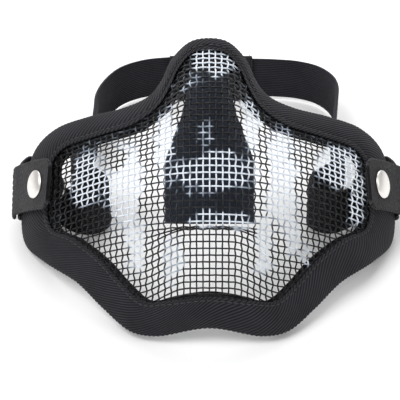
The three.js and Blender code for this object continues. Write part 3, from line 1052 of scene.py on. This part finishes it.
for side, label in ((1, "right"), (-1, "left")):
    strapEnd = bandFrames(side, 0, None, 50)[0][-1]
    buildTacks(label + "_tab_tacks", side, tacks["onTab"], strap["tabThickness"] / 2)
    rows = [strapEnd - distance for distance in tacks["fromEnd"][label]]
    buildTacks(label + "_end_tacks", side, rows, -strap["elasticDrop"])
print("strap laid")

# rivets, turned round their own axis
rivet = {
    "steps": 64,
    "crease": 40,  # degrees
    # half sections, as radius and height over the middle of the mesh: dome and post, and washer
    "cap": [
        (0, 7.65),
        (2.5, 7.55),
        (4.6, 7.25),
        (6.2, 6.75),
        (6.85, 6.3),
        (6.95, 5.95),
        (6.7, 5.72),
        (1.6, 5.7),
        (1.6, -8.1),
        (0, -8.1),
    ],
    "washer": [(1.95, -6.95), (5.6, -6.95), (6.0, -7.2), (6.0, -7.85), (5.6, -8.1), (1.95, -8.1)],
}


def rivetMatrix(side):
    across, up = side * faceShape["rivet"][0], faceShape["rivet"][1]
    centre = Vector(toFrame(facePoint(across, up, 0)))
    out = Vector(faceTurn @ faceNormal(across, float(up)))
    turn = Vector((0, 0, 1)).rotation_difference(out).to_matrix().to_4x4()
    return Matrix.Translation(centre / 1000) @ turn


def spinPiece(name, profile, closed, place, material):
    mesh = bpy.data.meshes.new(name)
    corners = [(radius / 1000, 0, height / 1000) for radius, height in profile]
    edges = [(i, i + 1) for i in range(len(corners) - 1)]
    if closed:
        edges.append((len(corners) - 1, 0))
    mesh.from_pydata(corners, edges, [])
    piece = bpy.data.objects.new(name, mesh)
    scene.collection.objects.link(piece)
    editPiece(piece)
    bpy.ops.mesh.spin(steps=rivet["steps"], angle=2 * math.pi, center=(0, 0, 0), axis=(0, 0, 1))
    bpy.ops.mesh.select_all(action="SELECT")
    bpy.ops.mesh.remove_doubles(threshold=1e-6)
    bpy.ops.mesh.normals_make_consistent(inside=False)
    bpy.ops.object.mode_set(mode="OBJECT")
    mesh.transform(place)
    mesh.materials.append(material)
    bpy.ops.object.shade_smooth_by_angle(angle=math.radians(rivet["crease"]))
    return piece


for side, label in ((1, "right"), (-1, "left")):
    for part, closed in (("cap", False), ("washer", True)):
        name, place = label + "_rivet_" + part + "_turned", rivetMatrix(side)
        piece = spinPiece(name, rivet[part], closed, place, satinNickel)
        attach(piece, "strap")
        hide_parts(label + "_rivet_" + part)
print("rivets set")

# the closure
patch = {
    "cuts": 60,
    "bevel": 0.0004,
    "bumps": 0.35,
    "raggedEnd": (0.93, 0.0006),  # from this share of the half length, by up to this much
    "raggedTop": (0.95, 0.0003),
    "endWaves": 900,  # to the metre
    "topWaves": 700,
    "hairs": (2600, 0.9),  # how many and how long, in millimetres
    "threads": (36, 3.4),
}


def patchPiece(name, node):
    low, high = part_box(node)
    size = high - low
    bpy.ops.object.select_all(action="DESELECT")
    bpy.ops.mesh.primitive_cube_add(size=1, location=(low + high) / 2, scale=size)
    piece = bpy.context.object
    piece.name = name
    bpy.ops.object.transform_apply(location=True, rotation=True, scale=True)
    bpy.ops.object.mode_set(mode="EDIT")
    bpy.ops.mesh.select_all(action="SELECT")
    bpy.ops.mesh.subdivide(number_cuts=patch["cuts"])
    bpy.ops.object.mode_set(mode="OBJECT")
    bevel = piece.modifiers.new("soften", "BEVEL")
    bevel.width = patch["bevel"]
    bevel.segments = 2
    bevel.limit_method = "ANGLE"
    bpy.ops.object.modifier_apply(modifier="soften")
    mesh = piece.data
    mesh.materials.append(tabCloth)
    endFrom, endDepth = patch["raggedEnd"]
    topFrom, topDepth = patch["raggedTop"]
    for vertex in mesh.vertices:
        endShare = abs(vertex.co.x - (low.x + high.x) / 2) / (size.x / 2)
        topShare = (vertex.co.z - low.z) / size.z
        if endShare > endFrom:
            depth = (endShare - endFrom) / (1 - endFrom) * endDepth
            vertex.co.x += depth * noise.noise(Vector((0, 0, vertex.co.z * patch["endWaves"])))
        if topShare > topFrom:
            vertex.co.z += topDepth * noise.noise(Vector((vertex.co.x * patch["topWaves"], 1, 2)))
    layer = mesh.uv_layers[0]
    layer.name = "UVMap"
    for loop in mesh.loops:
        corner = mesh.vertices[loop.vertex_index].co
        layer.data[loop.index].uv = (corner.x * 1000, corner.z * 1000 + corner.y * 1000)
    mesh.update()
    fuzz(piece, patch["bumps"])
    mesh.polygons.foreach_set("use_smooth", [True] * len(mesh.polygons))
    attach(piece, "strap")
    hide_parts(node)
    return piece


loopPatch = patchPiece("loop_patch", "closure_loop_patch")
patchPiece("hook_patch", "closure_hook_patch")
addFibres("loop_patch_nap", loopPatch, *patch["hairs"])
addFibres("loop_patch_threads", loopPatch, *patch["threads"])
print("closure made")

# floor and studio light
studio = {
    "floor": 0.88,
    "sky": 0.62,
    # place, size and power of each light
    "lights": {
        "key": ((-0.7, -0.5, 1.3), 0.9, 15),
        "fill": ((0.9, -0.6, 0.9), 1.1, 3.5),
        "back": ((0.1, 1.1, 0.9), 1.2, 13),
    },
}
bpy.ops.object.select_all(action="DESELECT")
bpy.ops.mesh.primitive_plane_add(size=8)
floor = bpy.context.object
floor.name = "floor"
floor.data.materials.append(newMaterial("paleFloor", 0.9, (studio["floor"],) * 3)[0])
world = bpy.data.worlds.new("studio")
scene.world = world
world.use_nodes = True
world.node_tree.nodes["Background"].inputs["Color"].default_value = (1, 1, 1, 1)
world.node_tree.nodes["Background"].inputs["Strength"].default_value = studio["sky"]
for name, (place, size, power) in studio["lights"].items():
    data = bpy.data.lights.new(name, "AREA")
    data.size = size
    data.energy = power
    light = bpy.data.objects.new(name, data)
    scene.collection.objects.link(light)
    light.location = place
    light.rotation_euler = (-Vector(place)).to_track_quat("-Z", "Y").to_euler()
scene.view_settings.view_transform = "Standard"

print("all made")
